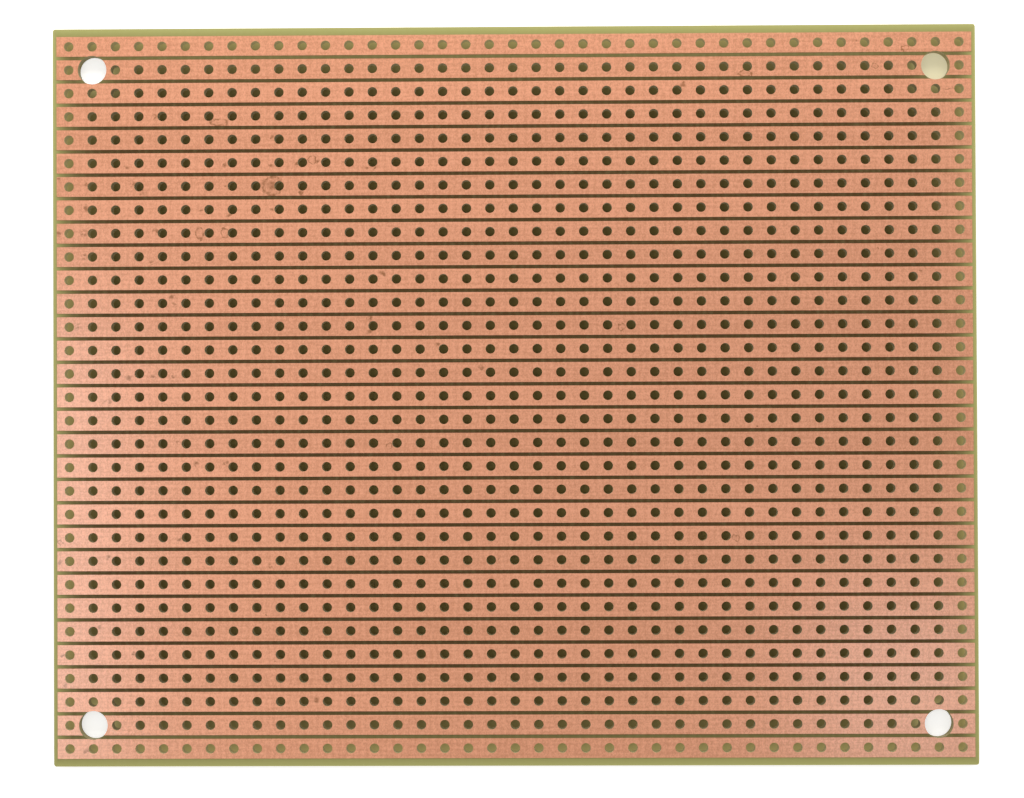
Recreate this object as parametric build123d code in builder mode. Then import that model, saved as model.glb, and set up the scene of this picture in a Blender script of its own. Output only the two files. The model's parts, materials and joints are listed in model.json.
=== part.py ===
# Bare copper stripboard: a drilled glass-epoxy laminate with parallel etched copper strips on its top face.
# Millimetres. The origin is the centre of the underside, +X runs along the strips and +Z points up
# through the copper.

import os

from build123d import *

# Board
board_length = 100.0
board_width = 80.0
board_thickness = 1.6
corner_radius = 0.5

# Lead holes, on a square grid centred on the board
hole_pitch = 2.54
lead_hole_diameter = 1.05
least_edge_margin = 1.5  # from the centre of an outermost hole to the board's edge

# Copper strips, one for each row of holes
copper_thickness = 0.035
etched_gap = 0.39  # bare laminate between two strips
bare_strip_end = 0.4  # from the end of a strip to the board's edge

# Screw holes, each on the grid, in place of a lead hole near a corner
screw_hole_diameter = 3.1
screw_hole_inset = 1  # steps of the grid in from its outermost holes, along both edges

# The grid has as many holes as the board has room for.
columns = int((board_length - 2 * least_edge_margin) / hole_pitch) + 1
rows = int((board_width - 2 * least_edge_margin) / hole_pitch) + 1
screw_spacing_x = (columns - 1 - 2 * screw_hole_inset) * hole_pitch
screw_spacing_y = (rows - 1 - 2 * screw_hole_inset) * hole_pitch
strip_length = board_length - 2 * bare_strip_end
strip_width = hole_pitch - etched_gap

screw_holes = [place.position for place in GridLocations(screw_spacing_x, screw_spacing_y, 2, 2)]
lead_holes = [
    place.position
    for place in GridLocations(hole_pitch, hole_pitch, columns, rows)
    if all((place.position - screw_hole).length > hole_pitch / 2 for screw_hole in screw_holes)
]

os.makedirs("parts", exist_ok=True)

# The board is one plate of laminate with every hole drilled through it.
with BuildPart() as board:
    with BuildSketch(Plane.XY) as plate:
        RectangleRounded(board_length, board_width, corner_radius)
        with Locations(*lead_holes):
            Circle(lead_hole_diameter / 2, mode=Mode.SUBTRACT)
        with Locations(*screw_holes):
            Circle(screw_hole_diameter / 2, mode=Mode.SUBTRACT)
    extrude(amount=board_thickness)
board.part.label = "board"
export_step(board.part, "parts/board.step")

# The strips lie on the board's top face and are numbered from the +Y edge. They were drilled along
# with it, so their holes are the board's own. A screw hole is wider than a strip, so the strips
# that have screw holes are each cut into a long middle and two short ends.
for row in range(rows):
    row_y = ((rows - 1) / 2 - row) * hole_pitch
    row_holes = [hole for hole in lead_holes if abs(hole.Y - row_y) < hole_pitch / 2]
    with BuildSketch(Plane.XY.offset(board_thickness)) as foil:
        with Locations((0, row_y)):
            Rectangle(strip_length, strip_width)
        with Locations(*row_holes):
            Circle(lead_hole_diameter / 2, mode=Mode.SUBTRACT)
        with Locations(*screw_holes):
            Circle(screw_hole_diameter / 2, mode=Mode.SUBTRACT)
    strip_name = f"copper_strip_{row + 1:02d}"
    lengths = foil.sketch.faces().sort_by(Axis.X)
    if len(lengths) == 1:
        names = [strip_name]
    else:
        names = [f"{strip_name}_left_end", strip_name, f"{strip_name}_right_end"]
    for face, name in zip(lengths, names):
        with BuildPart() as copper:
            extrude(face, amount=copper_thickness)
        copper.part.label = name
        export_step(copper.part, f"parts/{name}.step")
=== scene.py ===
# A bare copper stripboard, 100 x 80 mm, lying copper side up.

import json
from math import pi, radians

import bmesh
import bpy
from mathutils import Matrix, Vector


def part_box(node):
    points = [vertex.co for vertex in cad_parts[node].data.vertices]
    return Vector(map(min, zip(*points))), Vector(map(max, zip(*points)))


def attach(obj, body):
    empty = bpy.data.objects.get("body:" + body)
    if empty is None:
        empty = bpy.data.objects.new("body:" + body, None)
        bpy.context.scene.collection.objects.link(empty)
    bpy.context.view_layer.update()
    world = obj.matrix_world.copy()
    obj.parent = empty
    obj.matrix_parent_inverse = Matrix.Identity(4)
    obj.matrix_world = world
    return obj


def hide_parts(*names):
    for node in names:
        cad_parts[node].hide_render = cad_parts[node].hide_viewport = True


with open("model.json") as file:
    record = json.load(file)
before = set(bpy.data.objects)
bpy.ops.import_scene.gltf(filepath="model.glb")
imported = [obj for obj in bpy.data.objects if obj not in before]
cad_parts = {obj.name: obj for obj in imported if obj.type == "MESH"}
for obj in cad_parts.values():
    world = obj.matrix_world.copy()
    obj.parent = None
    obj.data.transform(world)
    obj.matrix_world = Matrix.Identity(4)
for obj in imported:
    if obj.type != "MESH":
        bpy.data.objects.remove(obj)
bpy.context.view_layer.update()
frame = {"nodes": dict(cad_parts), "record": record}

# ---------------------------------------------------------------------------------------------------
# The board: woven glass cloth pressed with epoxy resin into one olive, slightly see-through plate.
# It was drilled through with the copper on it, then sawn to size, so its edges and holes show the
# plies of cloth. Light gets in at its bare rim and screw holes, and fades away under the copper; this
# light and shade is painted into its colour, and the walls near the rim carry a painted glow.
# ---------------------------------------------------------------------------------------------------

MM = 0.001  # pieces are drawn in millimetres, and then brought to metres

mounts = {mount["name"]: mount for mount in frame["record"]["mounts"]}
lead_hole_radius = mounts["lead_hole"]["dims"]["r_mm"]
screw_hole_radius = mounts["screw_holes"]["dims"]["hole_r_mm"]
screw_x, screw_y = (mounts["screw_holes"]["dims"][f"spacing_{axis}_mm"] / 2 for axis in "xy")

copper_nodes = sorted(name for name in frame["nodes"] if name.startswith("copper_strip"))
strips = [name for name in copper_nodes if name[-1].isdigit()]
rows = len(strips)
top_strip = [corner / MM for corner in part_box(strips[0])]
bottom_strip = [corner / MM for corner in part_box(strips[-1])]
pitch = (top_strip[1].y - bottom_strip[1].y) / (rows - 1)
columns = round(2 * screw_x / pitch) + 3
board_low, board_high = (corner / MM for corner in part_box("board"))
screw_holes = [Vector((x, y)) for x in (-screw_x, screw_x) for y in (-screw_y, screw_y)]
corner_radius = 0.5

LEAD_HOLE_SIDES, SCREW_HOLE_SIDES = 24, 64
YARN_PITCH_X, YARN_PITCH_Y = 0.757, 0.58  # the cloth's yarns, in millimetres
PLY = 0.2  # one layer of cloth and resin, in millimetres
RIM_FADE, SCREW_HOLE_FADE = 2.2, 1.5  # millimetres in which the light let in falls to a third

# Painted light and shade: the laminate's top and hole walls are painted dark where no light gets in, and
# lighter near the rim and screw holes, where it does.
UNLIT_OLIVE, LIT_RIM_OLIVE = (0.068, 0.038, 0.009), (0.41, 0.395, 0.137)
SHADED_WALL_BROWN, LIT_WALL_OLIVE = (0.24, 0.18, 0.065), (0.36, 0.325, 0.15)
BACK_OLIVE, BACK_SHADOW = (0.36, 0.34, 0.14), (0.27, 0.22, 0.09)
RESIN, GLASS_YARN = (0.42, 0.40, 0.19), (0.58, 0.54, 0.36)
PAINTED_RIM_GLOW, NO_GLOW = (0.22, 0.19, 0.085), (0, 0, 0)


def hole_place(column, row):
    """The centre of a lead hole in millimetres. Columns count from 1 at -X, and rows from 1 at +Y."""
    return Vector(((column - (columns + 1) / 2) * pitch, ((rows + 1) / 2 - row) * pitch))


def drilled_face(shape, low, high, drilled_rows, height, rounding=0.0):
    """Adds a rectangle from low to high, with its lead holes and any screw holes left open in it."""
    outline = bmesh.ops.create_grid(shape, x_segments=1, y_segments=1, size=0.5)["verts"]
    bmesh.ops.scale(shape, vec=(high.x - low.x, high.y - low.y, 1), verts=outline)
    bmesh.ops.translate(shape, vec=((low.x + high.x) / 2, (low.y + high.y) / 2, height), verts=outline)
    face = outline[0].link_faces[0]
    corners = [corner for corner in outline if abs(abs(corner.co.y) - board_high.y) < 0.01]
    if rounding and corners:
        rounded = bmesh.ops.bevel(
            shape, geom=corners, offset=rounding * (2 - 2**0.5), affect="VERTICES", segments=6,
            profile=0.5, material=-1,
        )
        face = rounded["faces"][0] if rounded["faces"] else rounded["verts"][0].link_faces[0]
    rim = list(face.edges)
    bmesh.ops.delete(shape, geom=[face], context="FACES_ONLY")
    places = [hole_place(column, row) for row in drilled_rows for column in range(1, columns + 1)]
    rings = [(place, lead_hole_radius, LEAD_HOLE_SIDES) for place in places if low.x < place.x < high.x]
    rings = [ring for ring in rings if min((ring[0] - screw).length for screw in screw_holes) > pitch / 2]
    if len(drilled_rows) > 1:
        inside = [screw for screw in screw_holes if low.y < screw.y < high.y]
        rings += [(screw, screw_hole_radius, SCREW_HOLE_SIDES) for screw in inside]
    for place, radius, sides in rings:
        ring = bmesh.ops.create_circle(
            shape, segments=sides, radius=radius, matrix=Matrix.Translation((*place, height))
        )["verts"]
        rim += {edge for corner in ring for edge in corner.link_edges}
    bmesh.ops.triangle_fill(shape, edges=rim, use_beauty=True, normal=(0, 0, 1))


def thicken(shape, thickness):
    """Raises the drawn faces by a thickness into a closed plate."""
    raised = bmesh.ops.extrude_face_region(shape, geom=shape.faces[:])["geom"]
    corners = [part for part in raised if isinstance(part, bmesh.types.BMVert)]
    bmesh.ops.translate(shape, vec=(0, 0, thickness), verts=corners)
    bmesh.ops.recalc_face_normals(shape, faces=shape.faces[:])


def place_piece(shape, name, node, material):
    """Turns a drawn shape into the piece that stands for a node."""
    bmesh.ops.scale(shape, vec=(MM, MM, MM), verts=shape.verts[:])
    mesh = bpy.data.meshes.new(name)
    shape.to_mesh(mesh)
    shape.free()
    mesh.shade_smooth()
    mesh.set_sharp_from_angle(angle=radians(35))
    mesh.materials.append(material)
    piece = bpy.data.objects.new(name, mesh)
    bpy.context.scene.collection.objects.link(piece)
    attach(piece, "root")
    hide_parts(node)
    return piece


class Link:
    """One output in a material. Arithmetic on it adds Math nodes, and node() adds a node of any kind."""

    def __init__(self, tree, socket=None):
        self.tree, self.socket = tree, socket

    def node(self, kind, settings={}, inputs={}, output=0):
        """Adds a node. Its inputs take plain values or links."""
        node = self.tree.nodes.new(kind)
        for name, value in settings.items():
            setattr(node, name, value)
        for name, value in inputs.items():
            if isinstance(value, Link):
                self.tree.links.new(value.socket, node.inputs[name])
            else:
                node.inputs[name].default_value = value
        return Link(self.tree, node.outputs[output] if node.outputs else None)

    def math(self, operation, *values):
        """One Math node on values that are links or plain numbers."""
        return self.node("ShaderNodeMath", {"operation": operation}, dict(enumerate(values)))

    def mix(self, factor, first, second):
        """Mixes two colours, each a link or a plain (red, green, blue)."""
        first, second = (value if isinstance(value, Link) else (*value, 1) for value in (first, second))
        colours = {0: factor, 6: first, 7: second}
        return self.node("ShaderNodeMix", {"data_type": "RGBA"}, colours, output=2)

    def smooth(self, low, high):
        """0 where this is at low, 1 where it is at high, and eased between."""
        settings = {"interpolation_type": "SMOOTHSTEP"}
        return self.node("ShaderNodeMapRange", settings, {"Value": self, "From Min": low, "From Max": high})

    def distance(self, place, centre):
        """How far each place is from a centre."""
        ends = {0: place, 1: centre}
        return self.node("ShaderNodeVectorMath", {"operation": "DISTANCE"}, ends, output=1)

    def noise(self, place, scale, detail=2.0, roughness=0.5):
        """Soft cloudy values about 0.5, with about scale clouds to each unit of the place."""
        inputs = {"Vector": place, "Scale": scale, "Detail": detail, "Roughness": roughness}
        return self.node("ShaderNodeTexNoise", {}, inputs)

    def stretch(self, place, scale, shift=(0, 0, 0)):
        """The place scaled along each axis and then shifted."""
        return self.node("ShaderNodeMapping", {}, {"Vector": place, "Scale": scale, "Location": shift})

    def __add__(self, other):
        return self.math("ADD", self, other)

    def __radd__(self, other):
        return self.math("ADD", other, self)

    def __sub__(self, other):
        return self.math("SUBTRACT", self, other)

    def __rsub__(self, other):
        return self.math("SUBTRACT", other, self)

    def __mul__(self, other):
        return self.math("MULTIPLY", self, other)

    def __truediv__(self, other):
        return self.math("DIVIDE", self, other)


def start_material(name):
    """A new material, the start of its tree, the place in millimetres, and its x, y and z."""
    material = bpy.data.materials.new(name)
    material.use_nodes = True
    material.node_tree.nodes.clear()
    start = Link(material.node_tree)
    place = start.node("ShaderNodeTexCoord", output="Object")
    place = start.node("ShaderNodeVectorMath", {"operation": "SCALE"}, {0: place, "Scale": 1 / MM})
    x, y, z = (start.node("ShaderNodeSeparateXYZ", {}, {0: place}, output=axis) for axis in range(3))
    return material, start, place, x, y, z


def weave(start, place, x, y):
    """The height of the woven cloth: waves one yarn apart each way, which wander and come and go."""
    drift = start.noise(place, 0.35, 1.0)
    across = start.math("COSINE", x * (2 * pi / YARN_PITCH_X) + drift * 9)
    along = start.math("COSINE", y * (2 * pi / YARN_PITCH_Y) + drift * 7)
    amount = start.noise(place, 0.9, 1.0) * 1.4
    return (across * 0.6 + along * 0.4) * amount


def finish_material(start, surface):
    """Ends a tree with its surface."""
    start.node("ShaderNodeOutputMaterial", {}, {"Surface": surface})


laminate, start, place, x, y, z = start_material("laminate")
edge_distance_x = board_high.x - start.math("ABSOLUTE", x)
edge_distance_y = board_high.y - start.math("ABSOLUTE", y)
edge_distance = start.math("MINIMUM", edge_distance_x * 1.6, edge_distance_y)  # the ends let in less
# How much light is painted into the laminate's colour: most at the bare rim, some around the screw holes,
# none deep under the copper.
painted_rim_light = start.math("EXPONENT", edge_distance / -RIM_FADE)
for screw in screw_holes:
    centre = (screw.x, screw.y, board_high.z / 2)
    reach = start.distance(place, centre)
    painted_hole_light = start.math("EXPONENT", (screw_hole_radius - reach) / SCREW_HOLE_FADE) * 0.35
    painted_rim_light = start.math("MAXIMUM", painted_rim_light, painted_hole_light)
cloth = weave(start, place, x, y)
mottle = start.noise(place, 1.6, 3.0)
normal = start.node("ShaderNodeNewGeometry", output="Normal")
facing_down = start.node("ShaderNodeSeparateXYZ", {}, {0: normal}, output=2) * -1
underside = facing_down.smooth(0.5, 0.9)
upright = 1 - start.math("ABSOLUTE", facing_down).smooth(0.3, 0.7)
row_phase = start.math("COSINE", (y / pitch) * 2 * pi)
under_copper = row_phase.smooth(-0.96, -0.8)
# Painted light and shade: the top and the hole walls are darker inward and lighter near the rim and screw
# holes.
top_colour = start.mix(painted_rim_light, UNLIT_OLIVE, LIT_RIM_OLIVE)
wall_colour = start.mix(painted_rim_light, SHADED_WALL_BROWN, LIT_WALL_OLIVE)
back_colour = start.mix(under_copper, BACK_OLIVE, BACK_SHADOW)
colour = start.mix(underside, start.mix(upright, top_colour, wall_colour), back_colour)
colour = start.mix(cloth * 0.05 + (mottle - 0.42) * 0.2, colour, RESIN)
plies = start.math("COSINE", z * (2 * pi / PLY)).smooth(-0.2, 0.7)
yarns = start.noise(start.stretch(place, (2.4, 2.4, 9)), 1.0, 2.0)
colour = start.mix(upright * plies * yarns.smooth(0.35, 0.6) * 0.5, colour, GLASS_YARN)
# A painted glow, given as emission, on the upright walls near the rim but not on the rim itself.
painted_glow_mask = upright * start.math("EXPONENT", start.math("MINIMUM", edge_distance_x, edge_distance_y) / -1.7)
painted_glow_mask = painted_glow_mask * (1 - painted_rim_light.smooth(0.9, 0.97))
painted_glow_colour = start.mix(painted_glow_mask, NO_GLOW, PAINTED_RIM_GLOW)
height = cloth * 0.0035 + start.noise(place, 14, 3.0) * 0.002
bump = start.node("ShaderNodeBump", {}, {"Height": height * MM, "Distance": 1.0, "Strength": 1.0})
finish_material(start, start.node("ShaderNodeBsdfPrincipled", {}, {
    "Base Color": colour, "Roughness": 0.42, "Specular IOR Level": 0.15, "Normal": bump,
    "Emission Color": painted_glow_colour, "Emission Strength": 1.0,
}))

shape = bmesh.new()
between = [(hole_place(1, row) + hole_place(1, row + 1)).y / 2 for row in range(rows - 3, 2, -1)]
cuts = [board_low.y, *between, board_high.y]
bands = [range(rows - 2, rows + 1)] + [[row] for row in range(rows - 3, 3, -1)] + [range(1, 4)]
for low_y, high_y, band in zip(cuts, cuts[1:], bands):
    low, high = Vector((board_low.x, low_y)), Vector((board_high.x, high_y))
    drilled_face(shape, low, high, band, 0, corner_radius)
bmesh.ops.remove_doubles(shape, verts=shape.verts[:], dist=0.001)
thicken(shape, board_high.z)
place_piece(shape, "stripboard_laminate", "board", laminate)

# ---------------------------------------------------------------------------------------------------
# The copper strips: foil 0.035 mm thick, bonded to the laminate and etched into one strip for each
# row of holes. A thin clear lacquer keeps it bright. It has gone brown in spots and rings where
# flux or fingers reached it, and the cloth below prints through it as a faint grid.
# ---------------------------------------------------------------------------------------------------

DULL_COPPER, BRIGHT_COPPER, TARNISH_BROWN = (0.64, 0.26, 0.128), (0.90, 0.395, 0.222), (0.30, 0.105, 0.022)

# Tarnish: what each mark is, its column and row, and its half width and half height in millimetres
MARKS = [
    ("spot", 34.6, 0.92, 0.12, 0.1), ("ring", 36.73, 1.29, 0.4, 0.3), ("ring", 35.43, 2.02, 0.35, 0.3),
    ("ring", 29.9, 2.3, 0.75, 0.4), ("spot", 27.22, 2.77, 0.3, 0.25), ("scratch", 38.5, 3.06, 0.55, 0.07),
    ("smear", 4.66, 3.98, 0.3, 0.25), ("ring", 7.44, 4.27, 1.0, 0.42), ("spot", 9.7, 4.9, 0.22, 0.22),
    ("smear", 3.45, 6.17, 0.35, 0.2), ("spot", 7.7, 6.1, 0.28, 0.26), ("smear", 9.66, 6.1, 0.3, 0.25),
    ("smear", 10.76, 6.05, 0.3, 0.25), ("ring", 11.4, 5.9, 0.42, 0.42), ("smear", 11.7, 6.0, 0.35, 0.3),
    ("spot", 12.75, 6.0, 0.2, 0.2), ("spot", 13.75, 6.25, 0.22, 0.2), ("spot", 14.07, 6.25, 0.22, 0.2),
    ("spot", 0.56, 6.7, 0.2, 0.15), ("smear", 1.7, 6.9, 0.25, 0.4), ("smear", 3.7, 6.9, 0.3, 0.3),
    ("smear", 4.15, 7.25, 0.45, 0.35), ("spot", 7.7, 7.0, 0.18, 0.18), ("ring", 9.7, 7.0, 1.05, 1.05),
    ("spot", 9.7, 7.0, 0.62, 0.62), ("spot", 10.93, 7.3, 0.2, 0.2), ("smear", 1.67, 7.9, 0.4, 0.35),
    ("spot", 6.67, 8.0, 0.2, 0.2), ("spot", 7.85, 8.25, 0.28, 0.25), ("spot", 9.7, 8.03, 0.22, 0.22),
    ("smear", 0.6, 9.0, 0.3, 0.4), ("smear", 1.63, 9.0, 0.35, 0.4), ("smear", 4.7, 8.95, 0.3, 0.3),
    ("ring", 6.6, 9.0, 0.45, 0.65), ("ring", 7.67, 9.0, 0.35, 0.6), ("smear", 1.65, 10.0, 0.35, 0.35),
    ("smear", 4.53, 10.25, 0.3, 0.25), ("spot", 35.5, 9.8, 0.1, 0.1), ("spot", 14.43, 10.75, 0.35, 0.3),
    ("spot", 37.3, 10.75, 0.2, 0.2), ("spot", 5.35, 11.73, 0.35, 0.3), ("spot", 5.49, 12.06, 0.3, 0.25),
    ("smear", 1.35, 13.0, 0.35, 0.3), ("spot", 13.83, 13.24, 0.35, 0.3), ("smear", 13.87, 12.7, 0.25, 0.3),
    ("ring", 24.58, 13.09, 0.4, 0.4), ("spot", 16.73, 13.82, 0.3, 0.3), ("spot", 18.64, 14.8, 0.35, 0.3),
    ("spot", 3.55, 15.18, 0.45, 0.3), ("smear", 4.6, 15.15, 0.3, 0.3), ("smear", 5.4, 15.1, 0.3, 0.3),
    ("smear", 2.65, 16.2, 0.35, 0.3), ("spot", 30.3, 17.34, 0.12, 0.12), ("smear", 5.67, 18.0, 0.3, 0.3),
    ("ring", 14.7, 18.13, 0.3, 0.3), ("smear", 6.43, 18.87, 0.3, 0.25), ("smear", 7.7, 18.87, 0.3, 0.25),
    ("spot", 35.57, 19.2, 0.12, 0.12), ("ring", 0.62, 22.2, 0.35, 0.35), ("smear", 5.67, 22.06, 0.3, 0.3),
    ("ring", 29.4, 22.1, 0.4, 0.35), ("spot", 0.62, 23.03, 0.35, 0.3), ("smear", 2.65, 22.85, 0.3, 0.3),
    ("smear", 9.6, 23.2, 0.3, 0.25), ("spot", 19.3, 22.94, 0.12, 0.12), ("spot", 32.7, 23.04, 0.12, 0.12),
    ("spot", 9.4, 25.3, 0.15, 0.15), ("spot", 2.28, 25.84, 0.25, 0.25), ("spot", 0.71, 27.0, 0.2, 0.2),
    ("spot", 3.7, 26.95, 0.2, 0.2), ("spot", 9.8, 27.3, 0.12, 0.12), ("spot", 0.84, 28.3, 0.25, 0.25),
    ("spot", 11.5, 28.94, 0.4, 0.35), ("spot", 1.7, 31.1, 0.35, 0.3),
]


def mark_amount(start, place, patches, kind, column, row, half_width, half_height):
    """How much of one mark lies at each place, from 0 to 1."""
    centre = hole_place(column, row)
    shift = (-centre.x / half_width, -centre.y / half_height, 0)
    around = start.stretch(place, (1 / half_width, 1 / half_height, 0), shift)
    reach = start.distance(around, (0, 0, 0))
    if kind == "spot":
        return reach.smooth(1.3, 0.35) * (0.6 + patches * 0.4)
    if kind == "ring":
        return (reach.smooth(0.55, 0.92) * 0.88 + 0.12) * reach.smooth(1.2, 0.96) * (0.3 + patches * 0.7)
    return reach.smooth(1.6, 0.2) * patches


def copper_material(row):
    """The foil of one strip, with the tarnish marks that lie on it."""
    copper, start, place, x, y, z = start_material(f"copper_{row:02d}")
    grain = start.noise(start.stretch(place, (1.3, 0.9, 1)), 4.5, 4.0, 0.7)
    streaks = start.noise(start.stretch(place, (0.35, 5, 1)), 1.0, 3.0)
    cloth = weave(start, place, x, y)
    shade = grain * 0.62 + streaks * 0.22 + cloth * 0.05 + (row * 0.618) % 1 * 0.06 + 0.05
    colour = start.mix(shade.smooth(0.34, 0.66), DULL_COPPER, BRIGHT_COPPER)
    wander = start.node("ShaderNodeTexNoise", {}, {"Vector": place, "Scale": 1.7, "Detail": 3.0}, output=1)
    wander = start.node("ShaderNodeVectorMath", {"operation": "SUBTRACT"}, {0: wander, 1: (0.5, 0.5, 0.5)})
    wander = start.node("ShaderNodeVectorMath", {"operation": "SCALE"}, {0: wander, "Scale": 0.9})
    bent = start.node("ShaderNodeVectorMath", {"operation": "ADD"}, {0: place, 1: wander})
    patches = start.noise(place, 2.6, 3.0).smooth(0.36, 0.6)
    tarnish = 0.0
    for mark in MARKS:
        if round(mark[2]) == row:
            tarnish = start.math("MAXIMUM", tarnish, mark_amount(start, bent, patches, *mark))
    if isinstance(tarnish, Link):
        colour = start.mix(tarnish * 0.85, colour, TARNISH_BROWN)
    height = cloth * 0.0042 + grain * 0.003
    bump = start.node("ShaderNodeBump", {}, {"Height": height * MM, "Distance": 1.0, "Strength": 1.0})
    finish_material(start, start.node("ShaderNodeBsdfPrincipled", {}, {
        "Base Color": colour, "Metallic": 1.0, "Roughness": 0.45, "Normal": bump,
        "Coat Weight": 1.0, "Coat Roughness": 0.17, "Coat IOR": 1.65,
    }))
    return copper


def drill_screw_hole(piece, screw, height):
    """Cuts one screw hole through a piece of foil that lies at this height."""
    drill = bmesh.new()
    bmesh.ops.create_cone(
        drill, cap_ends=True, segments=SCREW_HOLE_SIDES, depth=2 * MM,
        radius1=screw_hole_radius * MM, radius2=screw_hole_radius * MM,
        matrix=Matrix.Translation((screw.x * MM, screw.y * MM, height * MM)),
    )
    drill_mesh = bpy.data.meshes.new("drill")
    drill.to_mesh(drill_mesh)
    drill.free()
    drill_piece = bpy.data.objects.new("drill", drill_mesh)
    bpy.context.scene.collection.objects.link(drill_piece)
    cut = piece.modifiers.new("screw hole", "BOOLEAN")
    cut.object, cut.operation, cut.solver = drill_piece, "DIFFERENCE", "EXACT"
    bpy.context.view_layer.update()
    drilled = piece.evaluated_get(bpy.context.evaluated_depsgraph_get())
    drilled_mesh = bpy.data.meshes.new_from_object(drilled)
    piece.modifiers.clear()
    piece.data = drilled_mesh
    bpy.data.objects.remove(drill_piece)


materials = {}
for node in copper_nodes:
    row = int(node.split("_")[2])
    if row not in materials:
        materials[row] = copper_material(row)
    low, high = (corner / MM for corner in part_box(node))
    shape = bmesh.new()
    drilled_face(shape, low, high, [row], low.z)
    thicken(shape, high.z - low.z)
    piece = place_piece(shape, f"{node}_foil", node, materials[row])
    for screw in screw_holes:
        nearest = Vector((min(max(screw.x, low.x), high.x), min(max(screw.y, low.y), high.y)))
        if (nearest - screw).length < screw_hole_radius - 0.01:
            drill_screw_hole(piece, screw, high.z)

# ---------------------------------------------------------------------------------------------------
# The table: a white sheet under the board. Around the board and in three of the screw holes it shows the
# camera a plain white ground. Under the board it is painted a dark olive shade, which is what the lead
# holes show, with a painted glow near the rim and the screw holes, where light gets in. The screw hole at
# +X, +Y is painted mostly in that shade. Hidden from the camera, the sheet under the board glows dimly
# and lights the board from below.
# ---------------------------------------------------------------------------------------------------

# Painted shade and glow: the sheet is olive and dark under the board, with an olive glow where light gets
# in.
SHADED_SHEET_OLIVE, WHITE_SHEET, UNDER_GLOW = (0.44, 0.37, 0.15), (0.8, 0.8, 0.8), (0.38, 0.33, 0.22)
OLIVE_GLOW, WHITE_GLOW = (1, 0.89, 0.38), (0.58, 0.58, 0.58)
RIM_SEEP_FADE, HOLE_SEEP_FADE = 1.75, 1.2  # millimetres in which the light below the board falls to a third
# Painted shade: the screw hole at +X, +Y shows mostly the shaded olive sheet, with only this share of
# white.
SHADED_HOLE_WHITE = 0.27  # how much of the white shows in the screw hole at +X, +Y

sheet = bmesh.new()
just_below = Matrix.Translation((0, 0, -0.00002))
bmesh.ops.create_grid(sheet, x_segments=1, y_segments=1, size=3.0, matrix=just_below)
sheet_mesh = bpy.data.meshes.new("sheet")
sheet.to_mesh(sheet_mesh)
sheet.free()
white, start, place, x, y, z = start_material("white sheet")
past_x = start.math("ABSOLUTE", x) - board_high.x
past_y = start.math("ABSOLUTE", y) - board_high.y
past_edge = start.math("MAXIMUM", past_x, past_y)
outside = past_edge.smooth(-0.1, 0.4)
inward = start.math("MINIMUM", start.math("MAXIMUM", past_x * 1.25, past_y), 0.0)
# A painted glow on the sheet under the board, strongest near the rim and the screw holes.
painted_glow_mask = start.math("EXPONENT", inward / RIM_SEEP_FADE) * 0.4
for screw in screw_holes:
    reach = start.distance(place, (*screw, 0))
    open_hole = reach.smooth(screw_hole_radius + 0.3, screw_hole_radius + 0.1)
    past_wall = start.math("MAXIMUM", reach, screw_hole_radius) - screw_hole_radius
    painted_hole_light = start.math("EXPONENT", past_wall / -HOLE_SEEP_FADE)
    painted_glow_mask = start.math("MAXIMUM", painted_glow_mask, painted_hole_light * 0.3)
    white_share = SHADED_HOLE_WHITE if screw.x > 0 and screw.y > 0 else 1.0
    outside = start.math("MAXIMUM", outside, open_hole * white_share)
# Painted shade: the sheet is olive and dark under the board, and white around it.
paper_colour = start.mix(outside, SHADED_SHEET_OLIVE, WHITE_SHEET)
paper = start.node("ShaderNodeBsdfDiffuse", {}, {"Color": paper_colour})
glow_colour = start.mix(outside, start.mix(painted_glow_mask, NO_GLOW, OLIVE_GLOW), WHITE_GLOW)
glow = start.node("ShaderNodeEmission", {}, {"Color": glow_colour, "Strength": 1.0})
# Hidden from the camera, the sheet under the board glows dimly, lighting the board's underside and hole
# walls from below.
under_glow = start.mix(outside, UNDER_GLOW, NO_GLOW)
unseen = start.node("ShaderNodeEmission", {}, {"Color": under_glow, "Strength": 1.0})
camera_ray = start.node("ShaderNodeLightPath", output="Is Camera Ray")
extra = start.node("ShaderNodeMixShader", {}, {0: camera_ray, 1: unseen, 2: glow})
lit = start.node("ShaderNodeAddShader", {}, {0: paper, 1: extra})
below = start.node("ShaderNodeNewGeometry", output="Backfacing")
clear = start.node("ShaderNodeBsdfTransparent")
finish_material(start, start.node("ShaderNodeMixShader", {}, {0: below, 1: lit, 2: clear}))
sheet_mesh.materials.append(white)
table = bpy.data.objects.new("table", sheet_mesh)
bpy.context.scene.collection.objects.link(table)

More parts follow.
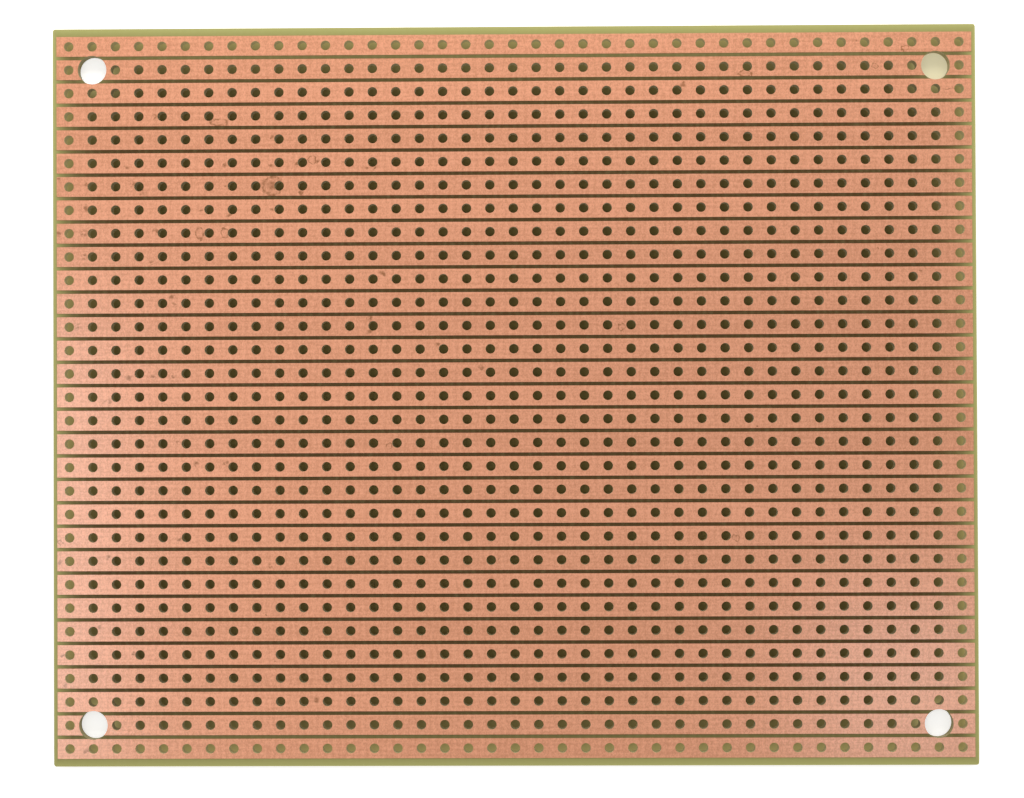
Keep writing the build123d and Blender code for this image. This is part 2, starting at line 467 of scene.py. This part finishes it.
# ---------------------------------------------------------------------------------------------------
# Light and camera: a bare white room, a low window beyond the far edge, and two soft lamps high over
# the left and right. The camera looks almost straight down at the copper.
# ---------------------------------------------------------------------------------------------------

world = bpy.data.worlds.new("room")
bpy.context.scene.world = world
world.use_nodes = True
world.node_tree.nodes.clear()
start = Link(world.node_tree)
camera_ray = start.node("ShaderNodeLightPath", output="Is Camera Ray")
ROOM_LEVEL = 0.62  # what the board is lit by, and the camera sees 1
strength = ROOM_LEVEL + camera_ray * (1 - ROOM_LEVEL)
background = start.node("ShaderNodeBackground", {}, {"Color": (1, 1, 1, 1), "Strength": strength})
start.node("ShaderNodeOutputWorld", {}, {"Surface": background})


def soft_lamp(name, place, aim, width, height, power):
    """A rectangle of light at a place, turned to its aim. Sizes are in metres, and power is in watts."""
    lamp = bpy.data.lights.new(name, "AREA")
    lamp.shape, lamp.size, lamp.size_y, lamp.energy = "RECTANGLE", width, height, power
    lamp_object = bpy.data.objects.new(name, lamp)
    lamp_object.location = place
    lamp_object.rotation_euler = (Vector(aim) - Vector(place)).to_track_quat("-Z", "Y").to_euler()
    bpy.context.scene.collection.objects.link(lamp_object)


soft_lamp("window", (0.01, 0.17, 0.12), (0.01, 0.02, 0), 0.30, 0.08, 0.37)
soft_lamp("left_lamp", (-0.163, -0.05, 0.50), (-0.163, -0.05, 0), 0.06, 0.17, 0.14)
soft_lamp("right_lamp", (0.115, -0.085, 0.50), (0.115, -0.085, 0), 0.06, 0.06, 0.034)

camera_data = bpy.data.cameras.new("camera")
camera_data.lens, camera_data.sensor_width = 87.9, 36
camera = bpy.data.objects.new("camera", camera_data)
camera_height = 0.2706  # above the copper
camera_place = Matrix.Translation((0.0036, -0.0034, top_strip[1].z * MM + camera_height))
turn = Vector((radians(0.64), radians(0.81), radians(-0.23)))
camera.matrix_world = camera_place @ Matrix.Rotation(turn.length, 4, turn.normalized())
bpy.context.scene.collection.objects.link(camera)
bpy.context.scene.camera = camera
bpy.context.scene.view_settings.view_transform = "Standard"
